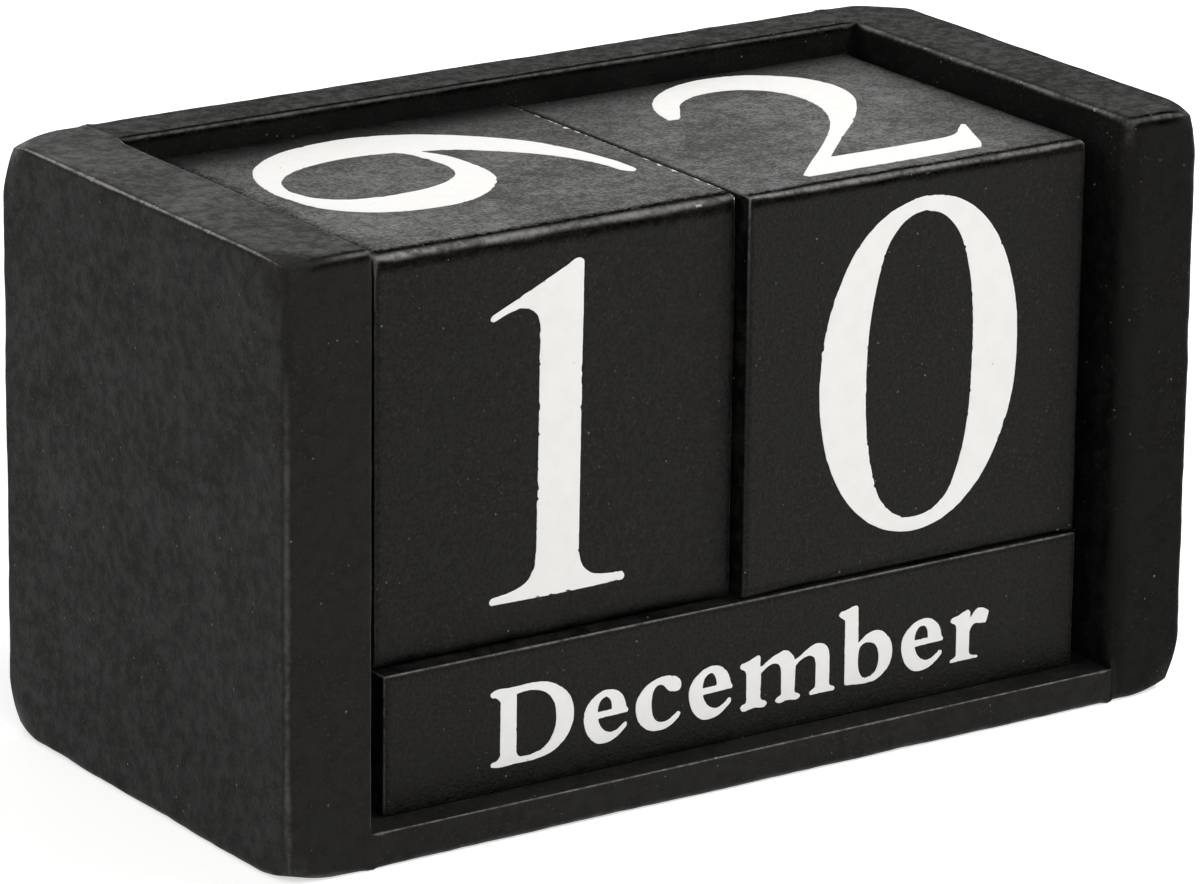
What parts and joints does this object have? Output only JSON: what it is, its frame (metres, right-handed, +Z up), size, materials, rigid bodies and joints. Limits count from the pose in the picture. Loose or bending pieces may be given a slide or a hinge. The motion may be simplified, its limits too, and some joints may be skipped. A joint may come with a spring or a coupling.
{
  "type": "desk calendar",
  "caption": "Perpetual block calendar: an open wooden box with date cubes that lift out at the top and month bars that slide out at the front.",
  "frame": {"origin": "centre of the underside, on the plane the calendar stands on", "axes": "+Z up, the front faces -Y, +X to the reader's right"},
  "size_m": [0.125, 0.0622, 0.0716],
  "materials": {
    "box_board": "satin black paint, lightly worn at the edges",
    "date_block": "satin black paint with white painted numerals",
    "month_bar": "satin black paint with white painted month names"
  },
  "bodies": {
    "box": {"left_side_panel": "box_board", "right_side_panel": "box_board", "back_panel": "box_board", "base_panel": "box_board"},
    "left_date_cube": {"date_cube_left": "date_block"},
    "right_date_cube": {"date_cube_right": "date_block"},
    "rear_month_bar": {"month_bar_rear": "month_bar"},
    "middle_month_bar": {"month_bar_middle": "month_bar"},
    "front_month_bar": {"month_bar_front": "month_bar"}
  },
  "joints": [
    {"name": "left_cube_lift", "type": "slide", "parent": "box", "child": "left_date_cube", "axis": [0, 0, 1], "range_m": [0, 0.055]},
    {"name": "right_cube_lift", "type": "slide", "parent": "box", "child": "right_date_cube", "axis": [0, 0, 1], "range_m": [0, 0.055]},
    {"name": "rear_bar_draw", "type": "slide", "parent": "box", "child": "rear_month_bar", "axis": [0, -1, 0], "range_m": [0, 0.055]},
    {"name": "middle_bar_draw", "type": "slide", "parent": "rear_month_bar", "child": "middle_month_bar", "axis": [0, -1, 0], "range_m": [0, 0.038]},
    {"name": "front_bar_draw", "type": "slide", "parent": "middle_month_bar", "child": "front_month_bar", "axis": [0, -1, 0], "range_m": [0, 0.022]}
  ]
}
